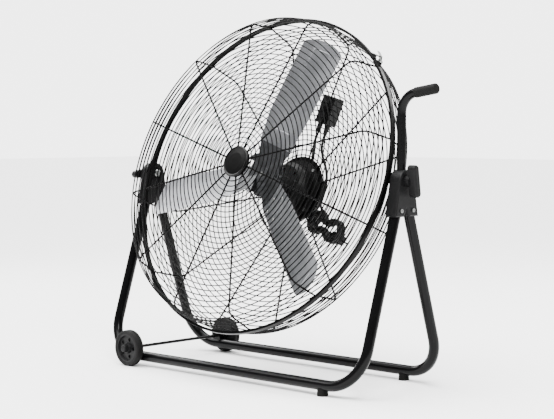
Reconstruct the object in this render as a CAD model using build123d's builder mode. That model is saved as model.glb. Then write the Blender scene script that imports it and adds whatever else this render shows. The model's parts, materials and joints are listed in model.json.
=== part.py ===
from build123d import *
import os
from math import asin, atan2, cos, degrees, pi, radians, sin, tan

# A rolling high-velocity floor fan.  Two U-shaped tubes make an A-frame stand with two
# wheels, two feet and a lifting handle.  A round wire cage with a three-blade impeller
# hangs between the legs and tilts about the line through the two wing knobs.
#
# Millimetres, +Z up, front of the fan towards -Y, +X to the handle side.
# The origin is on the floor, below the middle of the tilt axis.

# ---------------------------------------------------------------- driving dimensions
CAGE_R = 402.5          # outside radius of the clamp hoop round the cage
HOOP_H = 26             # hoop's mid-plane, ahead of the tilt axis along the fan axis
HEAD_TILT = 19.9        # the fan looks up by this angle at rest
PIVOT_Z = 482           # tilt axis above the floor

TUBE_R = 12.5           # stand tube, 25 mm outside diameter
TUBE_WALL = 1.5
LEG_X = 422             # leg centre line, either side
RAIL_Y = 145            # rail centre line, front and rear
RAIL_Z = 24.5           # rail centre line above the floor
BEND_R = 92             # bend between rail and leg
LEG_END_DROP = 45       # the legs stop this far below the tilt axis

WHEEL_R = 45.5
WHEEL_W = 22
AXLE_R = 4
AXLE_X = -322
FOOT_X = 313
FOOT_R = 13

SPOKE_R = 2.1           # cage ribs
RING_R = 1.4            # cage ring wires
RIM_R = 2.4             # rim wires held by the hoop
RING_PITCH = 12.8
WIRE_SIDES = 10         # ring wires are drawn with ten flats, to keep the part light
SPOKES = 12
SPOKE_PHASE = 13.2      # angle of the first rib from +X
WELD_GAP = 0.05         # rings lie this far off the ribs

BLADE_TIP_R = 357
BLADE_PITCH = 18.3
BLADE_H = 20            # mid-plane of the blades along the fan axis
BLADE_PHASE = 72.3      # first blade, from +X
BLADES = 3

BOLT_R = 5              # M10 tilt bolt
RUN_CLEAR = 0.06        # radial clearance of a shaft that turns

CORD_R = 3.4            # power cord and motor lead

os.makedirs("parts", exist_ok=True)

# ---------------------------------------------------------------- frames and helpers
TILT = radians(HEAD_TILT)
PIVOT = Vector(0, 0, PIVOT_Z)
AHEAD = Vector(0, -cos(TILT), sin(TILT))        # fan axis, out of the front
UPWARD = Vector(0, sin(TILT), cos(TILT))        # up in the plane of the cage
ASIDE = Vector(1, 0, 0)
FAN_AXIS = Axis(PIVOT, AHEAD)
HEAD = Plane(origin=PIVOT, x_dir=ASIDE, z_dir=AHEAD)
PROFILE = Plane(origin=PIVOT, x_dir=ASIDE, z_dir=UPWARD * -1)   # x = radius, y = along AHEAD


def head_point(across, up, ahead):
    """A point of the head, from its sideways, upward and forward distances."""
    return PIVOT + ASIDE * across + UPWARD * up + AHEAD * ahead


def spoke_point(radius, angle, ahead):
    """A point of the head at a radius and angle about the fan axis."""
    return head_point(radius * cos(radians(angle)), radius * sin(radians(angle)), ahead)


def save(builder, name):
    """Name a finished sub-part and write it as its own STEP file."""
    builder.part.label = name
    export_step(builder.part, f"parts/{name}.step")


# ---------------------------------------------------------------- stand: U frames
LEG_LEAN = atan2(RAIL_Y, PIVOT_Z - RAIL_Z)


def leg_point(side, end, drop):
    """A leg's centre line, at a height below the tilt axis; end is -1 front, 1 rear."""
    return (side * LEG_X, end * drop * tan(LEG_LEAN), PIVOT_Z - drop)


for frame_name, end in (("front_frame_tube", -1), ("rear_frame_tube", 1)):
    left_top = leg_point(-1, end, LEG_END_DROP)
    right_top = leg_point(1, end, LEG_END_DROP)
    left_corner = leg_point(-1, end, PIVOT_Z - RAIL_Z)
    right_corner = leg_point(1, end, PIVOT_Z - RAIL_Z)
    with BuildPart() as frame_tube:
        with BuildLine() as route:
            FilletPolyline(left_top, left_corner, right_corner, right_top, radius=BEND_R)
        with BuildSketch(Plane(origin=route.line @ 0, z_dir=route.line % 0)):
            Circle(TUBE_R)
            Circle(TUBE_R - TUBE_WALL, mode=Mode.SUBTRACT)
        sweep()
    save(frame_tube, frame_name)

# ---------------------------------------------------------------- stand: pivot blocks
BLOCK_IN = 407.2        # inner face of a pivot block
BLOCK_OUT = 437.2
BLOCK_TOP_R = 26
BLOCK_FOOT = 80         # the block ends this far below the tilt axis
BLOCK_NOTCH = 62        # top of the notch between its two sleeves
SLEEVE_R = 15.2
TUBE_FIT = 0.05         # gap between a tube and its socket
HANDLE_R = 10.5
HANDLE_X = 419.5
HANDLE_DROP = 24        # the handle tube reaches this far below the tilt axis

leg_mid = BLOCK_FOOT * tan(LEG_LEAN)
sleeve_half = SLEEVE_R / cos(LEG_LEAN)
flank = degrees(asin((leg_mid + sleeve_half - BLOCK_TOP_R) / BLOCK_FOOT))
top_y = BLOCK_TOP_R * cos(radians(flank))
top_z = BLOCK_TOP_R * sin(radians(flank))

for side, block_name in ((-1, "left_pivot_block"), (1, "right_pivot_block")):
    side_plane = Plane(origin=(side * BLOCK_IN, 0, PIVOT_Z), x_dir=(0, 1, 0), z_dir=(1, 0, 0))
    with BuildPart() as block:
        with BuildSketch(side_plane):
            with BuildLine():
                ThreePointArc((-top_y, top_z), (0, BLOCK_TOP_R), (top_y, top_z))
                Polyline(
                    (top_y, top_z),
                    (leg_mid + sleeve_half, -BLOCK_FOOT),
                    (leg_mid - sleeve_half, -BLOCK_FOOT),
                    (0, -BLOCK_NOTCH),
                    (sleeve_half - leg_mid, -BLOCK_FOOT),
                    (-leg_mid - sleeve_half, -BLOCK_FOOT),
                    (-top_y, top_z),
                )
            make_face()
        extrude(amount=side * (BLOCK_OUT - BLOCK_IN))
        outer_edges = block.faces().sort_by(Axis.X)[-1 if side > 0 else 0].edges()
        fillet(outer_edges, 4)
        # sockets of the two legs
        for end in (-1, 1):
            mouth = leg_point(side, end, BLOCK_FOOT + 12)
            seat = leg_point(side, end, LEG_END_DROP)
            inward = Vector(*seat) - Vector(*mouth)
            with BuildSketch(Plane(origin=mouth, z_dir=inward)):
                Circle(TUBE_R + TUBE_FIT)
            extrude(amount=inward.length, mode=Mode.SUBTRACT)
        # bore for the tilt bolt
        with BuildSketch(Plane(origin=(side * BLOCK_IN, 0, PIVOT_Z), z_dir=(side, 0, 0))):
            Circle(BOLT_R + RUN_CLEAR)
        extrude(amount=BLOCK_OUT - BLOCK_IN, mode=Mode.SUBTRACT)
        if side > 0:
            with BuildSketch(Plane.XY.offset(PIVOT_Z - HANDLE_DROP)):
                with Locations((HANDLE_X, 0)):
                    Circle(HANDLE_R + TUBE_FIT)
            extrude(amount=HANDLE_DROP + BLOCK_TOP_R + 5, mode=Mode.SUBTRACT)
    save(block, block_name)

# ---------------------------------------------------------------- stand: handle
HANDLE_TOP_Z = 674
HANDLE_REACH = 96       # from the upright to the grip's end
HANDLE_RISE = 14
HANDLE_BEND_R = 46
GRIP_R = 12
GRIP_L = 60
SLEEVE_CLEAR = 0.05

handle_foot = (HANDLE_X, 0, PIVOT_Z - HANDLE_DROP)
handle_knee = (HANDLE_X, 0, HANDLE_TOP_Z)
handle_end = (HANDLE_X + HANDLE_REACH, 0, HANDLE_TOP_Z + HANDLE_RISE)
with BuildPart() as handle_tube:
    with BuildLine() as route:
        FilletPolyline(handle_foot, handle_knee, handle_end, radius=HANDLE_BEND_R)
    with BuildSketch(Plane(origin=route.line @ 0, z_dir=route.line % 0)):
        Circle(HANDLE_R)
        Circle(HANDLE_R - TUBE_WALL, mode=Mode.SUBTRACT)
    sweep()
    with BuildSketch(Plane(origin=(BLOCK_IN, 0, PIVOT_Z), z_dir=(1, 0, 0))):
        Circle(BOLT_R + 0.4)
    extrude(amount=BLOCK_OUT - BLOCK_IN, mode=Mode.SUBTRACT)
save(handle_tube, "handle_tube")

grip_dir = Vector(*handle_end) - Vector(*handle_knee)
grip_plane = Plane(origin=handle_end, x_dir=(0, 1, 0), z_dir=grip_dir)
with BuildPart() as handle_grip:
    with BuildSketch(grip_plane.offset(4 - GRIP_L)):
        Circle(GRIP_R)
    extrude(amount=GRIP_L)
    fillet(handle_grip.faces().sort_by(Axis.X)[-1].edges(), 5)
    fillet(handle_grip.faces().sort_by(Axis.X)[0].edges(), 1)
    with BuildSketch(grip_plane.offset(4 - GRIP_L)):
        Circle(HANDLE_R + SLEEVE_CLEAR)
    extrude(amount=GRIP_L - 3.9, mode=Mode.SUBTRACT)
save(handle_grip, "handle_grip")

# ---------------------------------------------------------------- stand: feet
FOOT_TOP = 17
SCREW_R = 2.5
with BuildPart() as rubber_feet:
    for end in (-1, 1):
        with BuildSketch(Plane.XY):
            with Locations((FOOT_X, end * RAIL_Y)):
                Circle(FOOT_R)
        extrude(amount=FOOT_TOP, taper=2)
        with BuildSketch(Plane.XY):
            with Locations((FOOT_X, end * RAIL_Y)):
                Circle(5.2)
        extrude(amount=6, mode=Mode.SUBTRACT)
        with BuildSketch(Plane.XY):
            with Locations((FOOT_X, end * RAIL_Y)):
                Circle(SCREW_R + 0.1)
        extrude(amount=FOOT_TOP, mode=Mode.SUBTRACT)
        with BuildSketch(Plane.YZ.offset(FOOT_X - 2 * FOOT_R)):
            with Locations((end * RAIL_Y, RAIL_Z)):
                Circle(TUBE_R + TUBE_FIT)
        extrude(amount=4 * FOOT_R, mode=Mode.SUBTRACT)
save(rubber_feet, "rubber_feet")

# one screw in each foot, and one through each pivot block into each leg
PIN_DROP = 66
with BuildPart() as stand_screws:
    for end in (-1, 1):
        with BuildSketch(Plane.XY.offset(3)):
            with Locations((FOOT_X, end * RAIL_Y)):
                Circle(4.8)
        extrude(amount=2.9)
        with BuildSketch(Plane.XY.offset(3)):
            with Locations((FOOT_X, end * RAIL_Y)):
                Circle(SCREW_R)
        extrude(amount=RAIL_Z - TUBE_R - 3 - TUBE_FIT)
        for side in (-1, 1):
            pin_y = leg_point(side, end, PIN_DROP)[1]
            head = Plane(origin=(side * BLOCK_OUT, pin_y, PIVOT_Z - PIN_DROP), z_dir=(side, 0, 0))
            with BuildSketch(head.offset(TUBE_FIT)):
                Circle(4.4)
            extrude(amount=2.4)
            with BuildSketch(head.offset(TUBE_FIT + 2.4)):
                Rectangle(5.6, 1)
                Rectangle(1, 5.6)
            extrude(amount=-1.2, mode=Mode.SUBTRACT)
save(stand_screws, "stand_screws")

# ---------------------------------------------------------------- stand: axle and lugs
LUG_W = 16
LUG_R = 9.5
AXLE_Z = WHEEL_R
WHEEL_IN = RAIL_Y + TUBE_R + 2          # inner face of a wheel, from the mid-plane
WHEEL_OUT = WHEEL_IN + WHEEL_W
AXLE_HALF = WHEEL_OUT + 7
with BuildPart() as axle_lugs:
    for end in (-1, 1):
        with BuildSketch(Plane(origin=(AXLE_X, end * RAIL_Y - LUG_W / 2, 0), x_dir=(1, 0, 0), z_dir=(0, 1, 0))):
            # local y points down, because z_dir is +Y and x_dir is +X
            with Locations((0, -AXLE_Z)):
                Circle(LUG_R)
            with BuildLine():
                Polyline((-LUG_R, -AXLE_Z), (LUG_R, -AXLE_Z), (15, -RAIL_Z - 4), (-15, -RAIL_Z - 4), close=True)
            make_face()
        extrude(amount=LUG_W)
    with BuildSketch(Plane.YZ.offset(AXLE_X - 30)):
        for end in (-1, 1):
            with Locations((end * RAIL_Y, RAIL_Z)):
                Circle(TUBE_R + 0.3)
    extrude(amount=60, mode=Mode.SUBTRACT)
    with BuildSketch(Plane.XZ.offset(-AXLE_HALF)):
        with Locations((AXLE_X, AXLE_Z)):
            Circle(AXLE_R + TUBE_FIT)
    extrude(amount=2 * AXLE_HALF, mode=Mode.SUBTRACT)
save(axle_lugs, "axle_lugs")

with BuildPart() as wheel_axle:
    with BuildSketch(Plane.XZ.offset(-AXLE_HALF)):
        with Locations((AXLE_X, AXLE_Z)):
            Circle(AXLE_R)
    extrude(amount=2 * AXLE_HALF)
    chamfer(wheel_axle.edges().filter_by(GeomType.CIRCLE), 0.6)
save(wheel_axle, "wheel_axle")

# a domed cap on each axle end keeps the wheel on
CAP_R = 10
CAP_H = 10
with BuildPart() as axle_caps:
    for end in (-1, 1):
        base = Plane(origin=(AXLE_X, end * (WHEEL_OUT + 0.4), AXLE_Z), z_dir=(0, end, 0))
        with BuildSketch(base):
            Circle(CAP_R)
        extrude(amount=CAP_H, taper=8)
        dome = axle_caps.faces().sort_by(Axis.Y)[-1 if end > 0 else 0]
        fillet(dome.edges(), 3)
        with BuildSketch(base):
            Circle(AXLE_R + 0.02)
        extrude(amount=AXLE_HALF - WHEEL_OUT - 0.3, mode=Mode.SUBTRACT)
save(axle_caps, "axle_caps")

# ---------------------------------------------------------------- wheels
TREAD_R = 36            # the tyre sits on the hub at this radius
HUB_WEB_Y = 7           # depth of the hollow in the hub's outer face
for wheel_name, end in (("front_wheel", -1), ("rear_wheel", 1)):
    # profile: x = radius, y = distance outwards from the wheel's inner face
    section = Plane(origin=(AXLE_X, end * WHEEL_IN, AXLE_Z), x_dir=(1, 0, 0), z_dir=(0, 0, end))
    spin_axis = Axis((AXLE_X, 0, AXLE_Z), (0, 1, 0))
    with BuildPart() as hub:
        with BuildSketch(section):
            with BuildLine():
                Polyline(
                    (AXLE_R + RUN_CLEAR, 0),
                    (11, 0),
                    (11, 5),
                    (TREAD_R - 4, 5),
                    (TREAD_R - 4, 1),
                    (TREAD_R, 1),
                    (TREAD_R, WHEEL_W - 1),
                    (TREAD_R - 4, WHEEL_W - 1),
                    (TREAD_R - 6, WHEEL_W - HUB_WEB_Y),
                    (14, WHEEL_W - HUB_WEB_Y),
                    (12, WHEEL_W),
                    (AXLE_R + RUN_CLEAR, WHEEL_W),
                    close=True,
                )
            make_face()
        revolve(axis=spin_axis)
        # five shallow pockets in the face
        face_plane = Plane(origin=(AXLE_X, end * WHEEL_OUT, AXLE_Z), z_dir=(0, end, 0))
        with BuildSketch(face_plane.offset(-HUB_WEB_Y)):
            with PolarLocations(22, 5, start_angle=18):
                Circle(5)
        extrude(amount=-3, mode=Mode.SUBTRACT)
    save(hub, f"{wheel_name}_hub")

    with BuildPart() as tyre:
        with BuildSketch(section):
            with BuildLine():
                Polyline(
                    (TREAD_R + TUBE_FIT, 0),
                    (WHEEL_R - 4, 0),
                    (WHEEL_R - 1, 2),
                    (WHEEL_R, 5),
                    (WHEEL_R, 9.6),
                    (WHEEL_R - 1.2, 10.2),
                    (WHEEL_R - 1.2, 11.8),
                    (WHEEL_R, 12.4),
                    (WHEEL_R, 17),
                    (WHEEL_R - 1, 20),
                    (WHEEL_R - 4, WHEEL_W),
                    (TREAD_R + TUBE_FIT, WHEEL_W),
                    close=True,
                )
            make_face()
        revolve(axis=spin_axis)
    save(tyre, f"{wheel_name}_tyre")

# ---------------------------------------------------------------- head: clamp hoop
HOOP_W = 13
HOOP_SHEET = 1.5
HOOP_LIP_R = 396.2      # the hoop's two lips reach in to this radius
RIM_RING_R = CAGE_R - HOOP_SHEET - RIM_R - 0.1
LATCH_ANGLE = 45.5      # split in the hoop
HOOP_GAP = 5
with BuildPart() as clamp_hoop:
    with BuildSketch(PROFILE):
        with Locations(((HOOP_LIP_R + CAGE_R) / 2, HOOP_H)):
            Rectangle(CAGE_R - HOOP_LIP_R, HOOP_W)
        groove_out = CAGE_R - HOOP_SHEET
        with Locations(((HOOP_LIP_R + groove_out) / 2 - 1, HOOP_H)):
            Rectangle(groove_out - HOOP_LIP_R + 2, HOOP_W - 2 * HOOP_SHEET, mode=Mode.SUBTRACT)
    revolve(axis=FAN_AXIS)
    fillet(clamp_hoop.faces().sort_by(SortBy.AREA)[-1].edges(), 1)
    with BuildSketch(HEAD.offset(HOOP_H - HOOP_W)):
        with Locations(Location((0, 0, 0), (0, 0, LATCH_ANGLE))):
            with Locations((CAGE_R, 0)):
                Rectangle(40, HOOP_GAP)
    extrude(amount=2 * HOOP_W, mode=Mode.SUBTRACT)
save(clamp_hoop, "clamp_hoop")

# ---------------------------------------------------------------- head: hoop latch
# A toggle: the lever turns on its seat and its wire loop draws the hook across the split.
LATCH_W = 12
LEVER_PIN = (14, 6.5)
LOOP_PIN = (4, 13.4)
LOOP_R = 1.2
LOOP_HOOK = (-18.2, 3.1)
LOOP_SIDE = LATCH_W / 2 + LOOP_R + 0.3

latch_out = ASIDE * cos(radians(LATCH_ANGLE)) + UPWARD * sin(radians(LATCH_ANGLE))
latch_along = latch_out.cross(AHEAD)
# local x along the hoop, y outwards, z along the fan axis
latch_plane = Plane(origin=spoke_point(CAGE_R, LATCH_ANGLE, HOOP_H), x_dir=latch_along, z_dir=AHEAD)

with BuildPart() as latch_seats:
    with BuildSketch(latch_plane.offset(-LATCH_W / 2)):
        with BuildLine():
            Polyline((5, 0.1), (24, -0.5), (24, 1.4), (5, 2.2), close=True)
        make_face()
    extrude(amount=LATCH_W)
    for ear in (-LATCH_W / 2, LATCH_W / 2 - 2):
        with BuildSketch(latch_plane.offset(ear)):
            with BuildLine():
                Polyline((8, 1.5), (21, 1), (17.2, 6.5), (10.8, 6.5), close=True)
            make_face()
            with Locations(LEVER_PIN):
                Circle(3.3)
        extrude(amount=2)
    with BuildSketch(latch_plane.offset(-LATCH_W)):
        with Locations(LEVER_PIN):
            Circle(1.5)
    extrude(amount=2 * LATCH_W, mode=Mode.SUBTRACT)
    # the hook that the wire loop pulls on
    with BuildSketch(latch_plane.offset(1 - LATCH_W / 2)):
        with BuildLine():
            Polyline((-5, 0.1), (-24, -0.5), (-24, 1.3), (-16.7, 1.7), (-16.4, 5.4), (-11, 5.4), (-9, 2), (-5, 2), close=True)
        make_face()
    extrude(amount=LATCH_W - 2)
save(latch_seats, "latch_seats")

LEVER_W = LATCH_W - 4.6
with BuildPart() as latch_lever:
    with BuildSketch(latch_plane.offset(-LEVER_W / 2)):
        with BuildLine():
            Polyline((16, 8.6), (4, 16.6), (-12, 17.6), (-12.4, 15.2), (3, 14.2), (11.6, 5), close=True)
        make_face()
        with Locations(LEVER_PIN):
            Circle(3.1)
        with Locations(LOOP_PIN):
            Circle(2.6)
    extrude(amount=LEVER_W)
    # finger window through the tongue
    with BuildSketch(latch_plane.offset(-LEVER_W / 4)):
        with Locations((-4, 16)):
            Rectangle(9, 8)
    extrude(amount=LEVER_W / 2, mode=Mode.SUBTRACT)
    with BuildSketch(latch_plane.offset(-LEVER_W)):
        with Locations(LOOP_PIN):
            Circle(LOOP_R + TUBE_FIT)
    extrude(amount=2 * LEVER_W, mode=Mode.SUBTRACT)
    # its own pin, turning in the seat's ears
    with BuildSketch(latch_plane.offset(0.2 - LATCH_W / 2)):
        with Locations(LEVER_PIN):
            Circle(1.5 - RUN_CLEAR)
    extrude(amount=LATCH_W - 0.4)
save(latch_lever, "latch_lever")

loop_corners = [
    latch_plane.from_local_coords(Vector(*place, depth))
    for place, depth in (
        (LOOP_PIN, LOOP_SIDE),
        (LOOP_HOOK, LOOP_SIDE),
        (LOOP_HOOK, -LOOP_SIDE),
        (LOOP_PIN, -LOOP_SIDE),
    )
]
with BuildPart() as latch_loop:
    with BuildLine() as route:
        FilletPolyline(*loop_corners, radius=2, close=True)
    with BuildSketch(Plane(origin=route.line @ 0, z_dir=route.line % 0)):
        Circle(LOOP_R)
    sweep()
save(latch_loop, "latch_loop")

# ---------------------------------------------------------------- head: tilt brackets
STRAP_IN = CAGE_R + 0.1
STRAP_T = 2.6
STRAP_HALF = 13
STRAP_REACH = 36        # ahead of the tilt axis, welded on the hoop
WASHER_R = 17
BOLT_END = 462
BOLT_HEAD_R = 10
BOLT_HEAD_T = 3.5

with BuildPart() as pivot_straps:
    for side in (-1, 1):
        strap_plane = Plane(origin=head_point(side * STRAP_IN, 0, 0), x_dir=AHEAD, z_dir=(side, 0, 0))
        with BuildSketch(strap_plane):
            Circle(STRAP_HALF + 2)
            with Locations((STRAP_REACH / 2, 0)):
                Rectangle(STRAP_REACH, 2 * STRAP_HALF)
            Circle(BOLT_R + TUBE_FIT, mode=Mode.SUBTRACT)
        extrude(amount=STRAP_T)
save(pivot_straps, "pivot_straps")

with BuildPart() as pivot_washers:
    for side in (-1, 1):
        with BuildSketch(Plane(origin=(side * (STRAP_IN + STRAP_T + 0.3), 0, PIVOT_Z), z_dir=(side, 0, 0))):
            Circle(WASHER_R)
            Circle(BOLT_R + 0.35, mode=Mode.SUBTRACT)
        extrude(amount=BLOCK_IN - STRAP_IN - STRAP_T - 0.3)
save(pivot_washers, "pivot_washers")

with BuildPart() as tilt_bolts:
    for side in (-1, 1):
        start = Plane(origin=(side * (STRAP_IN - TUBE_FIT), 0, PIVOT_Z), z_dir=(side, 0, 0))
        with BuildSketch(start):
            Circle(BOLT_R)
        extrude(amount=BOLT_END - STRAP_IN)
        with BuildSketch(start):
            Circle(BOLT_HEAD_R)
        extrude(amount=-BOLT_HEAD_T, taper=25)
save(tilt_bolts, "tilt_bolts")

# ---------------------------------------------------------------- wing knobs
KNOB_HUB_R = 14
KNOB_HUB_L = 9
WING_L = 74
WING_W = 19
WING_T = 21
for side, knob_name, turn in ((-1, "left_tilt_knob", 82), (1, "right_tilt_knob", -8)):
    # local x along the wing
    wing_dir = Vector(0, sin(radians(turn)), cos(radians(turn)))
    knob_plane = Plane(origin=(side * (BLOCK_OUT + 0.4), 0, PIVOT_Z), x_dir=wing_dir, z_dir=(side, 0, 0))
    with BuildPart() as knob:
        with BuildSketch(knob_plane):
            Circle(KNOB_HUB_R)
        extrude(amount=KNOB_HUB_L + 4)
        with BuildSketch(knob_plane.offset(KNOB_HUB_L)):
            SlotOverall(WING_L, WING_W)
        extrude(amount=WING_T)
        far_face = knob.faces().sort_by(Axis.X)[-1 if side > 0 else 0]
        fillet(far_face.edges(), 5)
        with BuildSketch(knob_plane):
            Circle(BOLT_R + RUN_CLEAR)
        extrude(amount=BOLT_END - BLOCK_OUT + 0.6, mode=Mode.SUBTRACT)
    save(knob, knob_name)

# ---------------------------------------------------------------- cage: ribs and rings
RIB_END_R = RIM_RING_R - RIM_R - SPOKE_R - WELD_GAP
FRONT_FACE = ((30, 111.4), (376, 99), (RIB_END_R, HOOP_H + 0.9))
REAR_FACE = ((79.3, -101.8), (377, -62), (RIB_END_R, HOOP_H - 0.9))
CAGE_BEND_R = 24
SIDE_H = 78             # rings nearer the hoop than this are the front side rings
REAR_SIDE_H = -50


def ribs(face):
    """Sweep the twelve bent ribs of one half of the cage."""
    for count in range(SPOKES):
        angle = SPOKE_PHASE + count * 360 / SPOKES
        places = [spoke_point(radius, angle, ahead) for radius, ahead in face]
        with BuildLine() as route:
            FilletPolyline(*places, radius=CAGE_BEND_R)
        with BuildSketch(Plane(origin=route.line @ 0, z_dir=route.line % 0)) as section:
            Circle(SPOKE_R)
        sweep(section.sketch, path=route.line)


def ring_places(face, outside, first, last_gap):
    """Centres (radius, height) of ring wires laid at an even pitch on the ribs' outside."""
    with BuildLine(mode=Mode.PRIVATE):
        rib = FilletPolyline(*face, radius=CAGE_BEND_R)
    steps = int((rib.length - first - last_gap) / RING_PITCH)
    stand_off = SPOKE_R + RING_R + WELD_GAP
    places = []
    for step in range(steps + 1):
        along = (first + step * RING_PITCH) / rib.length
        place = rib.position_at(along)
        way = rib.tangent_at(along)
        places.append((place.X - outside * way.Y * stand_off, place.Y + outside * way.X * stand_off))
    return places


def wires(places, radius):
    """Revolve ring wires of one radius about the fan axis."""
    with BuildSketch(PROFILE) as section:
        with Locations(*places):
            RegularPolygon(radius, WIRE_SIDES)
    revolve(section.sketch, axis=FAN_AXIS)


front_rings = ring_places(FRONT_FACE, 1, 19, 14)
rear_rings = ring_places(REAR_FACE, -1, 12.8, 14)

with BuildPart() as front_guard_ribs:
    ribs(FRONT_FACE)
save(front_guard_ribs, "front_guard_ribs")

with BuildPart() as front_guard_face_rings:
    wires([place for place in front_rings if place[1] >= SIDE_H], RING_R)
save(front_guard_face_rings, "front_guard_face_rings")

with BuildPart() as front_guard_side_rings:
    wires([place for place in front_rings if place[1] < SIDE_H], RING_R)
    wires([(RIM_RING_R, HOOP_H + RIM_R + 0.1)], RIM_R)
save(front_guard_side_rings, "front_guard_side_rings")

with BuildPart() as rear_guard_ribs:
    ribs(REAR_FACE)
save(rear_guard_ribs, "rear_guard_ribs")

with BuildPart() as rear_guard_face_rings:
    wires([place for place in rear_rings if place[1] <= REAR_SIDE_H], RING_R)
save(rear_guard_face_rings, "rear_guard_face_rings")

with BuildPart() as rear_guard_side_rings:
    wires([place for place in rear_rings if place[1] > REAR_SIDE_H], RING_R)
    wires([(RIM_RING_R, HOOP_H - RIM_R - 0.1)], RIM_R)
save(rear_guard_side_rings, "rear_guard_side_rings")

# ---------------------------------------------------------------- cage: centre badge
BADGE_R = 39
BADGE_BACK = 113.7      # the ribs' inner ends are held between badge and back plate
with BuildPart() as front_badge:
    with BuildSketch(PROFILE):
        with BuildLine():
            Polyline(
                (0, 120),
                (0, BADGE_BACK),
                (BADGE_R - 1, BADGE_BACK),
                (BADGE_R, BADGE_BACK + 1),
                (BADGE_R, 117),
                (BADGE_R - 3, 119.4),
                (BADGE_R - 6, 118.2),
                (BADGE_R - 18, 119.6),
                (BADGE_R - 30, 120),
                close=True,
            )
        make_face()
    revolve(axis=FAN_AXIS)
save(front_badge, "front_badge")

with BuildPart() as badge_back_plate:
    with BuildSketch(PROFILE):
        with BuildLine():
            Polyline((0, 106.4), (0, 113.6), (7, 113.6), (7, 108.4), (36, 108.4), (37, 107.4), (36, 106.4), close=True)
        make_face()
    revolve(axis=FAN_AXIS)
save(badge_back_plate, "badge_back_plate")

# ---------------------------------------------------------------- motor
PLATE_R = 88
PLATE_H = -107
PLATE_T = 3
FLANGE_BOLT_R = 71.5
SHAFT_R = 6
BEARING_R = 16
STATOR_R = 58
STATOR_H = (-126, -86)

with BuildPart() as motor_mount_plate:
    with BuildSketch(HEAD.offset(PLATE_H)):
        Circle(PLATE_R)
        Circle(61.2, mode=Mode.SUBTRACT)
        with PolarLocations(FLANGE_BOLT_R, 4, start_angle=45):
            Circle(2.6, mode=Mode.SUBTRACT)
    extrude(amount=PLATE_T)
    chamfer(motor_mount_plate.faces().filter_by(GeomType.CYLINDER).sort_by(SortBy.AREA)[-1].edges(), 0.6)
save(motor_mount_plate, "motor_mount_plate")

with BuildPart() as motor_rear_bell:
    with BuildSketch(PROFILE):
        with BuildLine():
            Polyline(
                (0, -155),
                (52, -155),
                (65, -146),
                (65, -110),
                (78, -110),
                (78, PLATE_H - TUBE_FIT),
                (62, PLATE_H - TUBE_FIT),
                (62, -145),
                (50.5, -152),
                (20, -152),
                (20, -138),
                (BEARING_R + 0.02, -138),
                (BEARING_R + 0.02, -150),
                (0, -150),
                close=True,
            )
        make_face()
    revolve(axis=FAN_AXIS)
    with BuildSketch(HEAD.offset(-138)):
        with PolarLocations(63.5, 18, start_angle=10):
            Rectangle(9, 4)
    extrude(amount=22, mode=Mode.SUBTRACT)
    with BuildSketch(HEAD.offset(-112)):
        with PolarLocations(FLANGE_BOLT_R, 4, start_angle=45):
            Circle(2.6)
    extrude(amount=8, mode=Mode.SUBTRACT)
save(motor_rear_bell, "motor_rear_bell")

with BuildPart() as motor_front_bell:
    with BuildSketch(PROFILE):
        with BuildLine():
            Polyline(
                (SHAFT_R + 2, -56),
                (20, -56),
                (22, -60),
                (50, -60),
                (61, -70),
                (61, -101.5),
                (77, -101.5),
                (77, PLATE_H + PLATE_T + TUBE_FIT),
                (STATOR_R + TUBE_FIT, PLATE_H + PLATE_T + TUBE_FIT),
                (STATOR_R + TUBE_FIT, -71.5),
                (48.5, -63),
                (20, -63),
                (20, -76),
                (BEARING_R + 0.02, -76),
                (BEARING_R + 0.02, -62),
                (SHAFT_R + 2, -62),
                close=True,
            )
        make_face()
    revolve(axis=FAN_AXIS)
    with BuildSketch(HEAD.offset(-66)):
        with PolarLocations(38, 12, start_angle=15):
            SlotOverall(14, 5)
    extrude(amount=8, mode=Mode.SUBTRACT)
    with BuildSketch(HEAD.offset(-106)):
        with PolarLocations(FLANGE_BOLT_R, 4, start_angle=45):
            Circle(2.6)
    extrude(amount=8, mode=Mode.SUBTRACT)
save(motor_front_bell, "motor_front_bell")

with BuildPart() as motor_bolts:
    with BuildSketch(HEAD.offset(-101.4)):
        with PolarLocations(FLANGE_BOLT_R, 4, start_angle=45):
            RegularPolygon(4.4, 6)
    extrude(amount=3.4)
    with BuildSketch(HEAD.offset(-115)):
        with PolarLocations(FLANGE_BOLT_R, 4, start_angle=45):
            Circle(2.5)
    extrude(amount=14)
    with BuildSketch(HEAD.offset(-114)):
        with PolarLocations(FLANGE_BOLT_R, 4, start_angle=45):
            RegularPolygon(4.4, 6)
    extrude(amount=3.9)
save(motor_bolts, "motor_bolts")

with BuildPart() as motor_bearings:
    for low, high in ((-75, -64), (-149.5, -139)):
        with BuildSketch(HEAD.offset(low)):
            Circle(BEARING_R)
            Circle(SHAFT_R + RUN_CLEAR, mode=Mode.SUBTRACT)
        extrude(amount=high - low)
save(motor_bearings, "motor_bearings")

with BuildPart() as stator_core:
    with BuildSketch(HEAD.offset(STATOR_H[0])):
        Circle(STATOR_R)
        Circle(30, mode=Mode.SUBTRACT)
    extrude(amount=STATOR_H[1] - STATOR_H[0])
save(stator_core, "stator_core")

with BuildPart() as stator_windings:
    with BuildSketch(PROFILE):
        for middle in (STATOR_H[0] - 4.6, STATOR_H[1] + 4.6):
            with Locations((43, middle)):
                RectangleRounded(17, 9, 3)
    revolve(axis=FAN_AXIS)
save(stator_windings, "stator_windings")

with BuildPart() as rotor:
    with BuildSketch(HEAD.offset(STATOR_H[0])):
        Circle(29.4)
        Circle(SHAFT_R + 0.02, mode=Mode.SUBTRACT)
    extrude(amount=STATOR_H[1] - STATOR_H[0])
save(rotor, "rotor")

HUB_FRONT = 20
with BuildPart() as motor_shaft:
    with BuildSketch(HEAD.offset(-149.2)):
        Circle(SHAFT_R)
    extrude(amount=HUB_FRONT + 2 + 149.2)
save(motor_shaft, "motor_shaft")

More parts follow.
